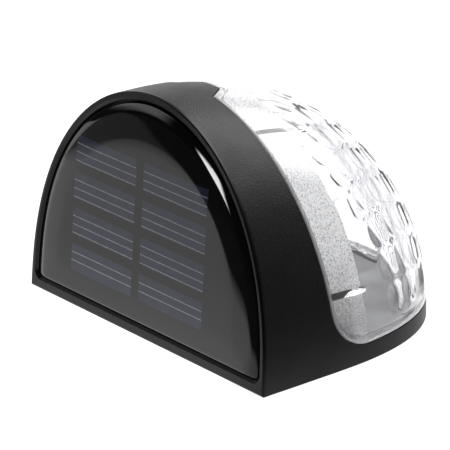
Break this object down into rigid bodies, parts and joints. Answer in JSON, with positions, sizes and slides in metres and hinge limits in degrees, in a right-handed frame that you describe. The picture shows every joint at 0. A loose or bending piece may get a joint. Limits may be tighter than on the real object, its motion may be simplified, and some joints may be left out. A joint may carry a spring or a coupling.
{
  "type": "fence light",
  "caption": "Half-round solar fence light with a leaning D-shaped solar face, a black shell, a clear dimpled lens and a slide-on wall bracket.",
  "frame": {"origin": "middle of the light's foot, on the wall plane it stands on", "axes": "+X across the solar face, +Y from the solar face to the far end of the lens, +Z away from the wall"},
  "size_m": [0.105, 0.085, 0.0703],
  "materials": {
    "housing_black": "fine spark-eroded grain",
    "bezel_black": "satin, smooth",
    "panel_cover": "glossy domed resin",
    "solar_cell": "dark blue-grey silicon",
    "panel_board": "black laminate",
    "foam": "closed-cell foam tape",
    "lens_clear": "clear moulded plastic",
    "seal_clear": "translucent silicone",
    "reflector_silver": "vacuum metallised",
    "board_white": "white solder mask",
    "lamp": "phosphor under clear resin",
    "board_green": "green solder mask",
    "chip_black": "moulded epoxy",
    "coil": "ferrite",
    "capacitor_sleeve": "shrink sleeve",
    "cell_wrap": "shrink sleeve",
    "holder_plastic": "moulded, plain",
    "nickel": "nickel plate",
    "steel_screw": "zinc plate",
    "rubber_black": "moulded silicone",
    "base_black": "fine spark-eroded grain",
    "switch_black": "moulded nylon",
    "lead_sleeve": "wire insulation"
  },
  "bodies": {
    "light": {"housing_shell": "housing_black", "front_bezel": "bezel_black", "solar_cover": "panel_cover", "solar_cells": "solar_cell", "solar_board": "panel_board", "solar_pad": "foam", "clear_lens": "lens_clear", "lens_seal": "seal_clear", "reflector": "reflector_silver", "tray_screws": "steel_screw", "led_board": "board_white", "leds": "lamp", "led_board_screws": "steel_screw", "control_board": "board_green", "control_board_screws": "steel_screw", "driver_chip": "chip_black", "boost_coil": "coil", "capacitor": "capacitor_sleeve", "battery_holder": "holder_plastic", "battery_cell": "cell_wrap", "battery_contact": "nickel", "battery_spring": "nickel", "base_plate": "base_black", "base_seal": "rubber_black", "base_screws": "steel_screw", "switch_body": "switch_black", "solar_leads": "lead_sleeve", "led_leads": "lead_sleeve", "switch_leads": "lead_sleeve"},
    "button": {"power_button": "rubber_black"},
    "bracket": {"wall_bracket": "base_black"}
  },
  "joints": [
    {"name": "button_press", "type": "slide", "parent": "light", "child": "button", "axis": [0, 0, 1], "range_m": [0, 0.0012], "stiffness_N_per_m": 600},
    {"name": "bracket_slide", "type": "slide", "parent": "light", "child": "bracket", "axis": [0, 1, 0], "range_m": [0, 0.009]}
  ]
}
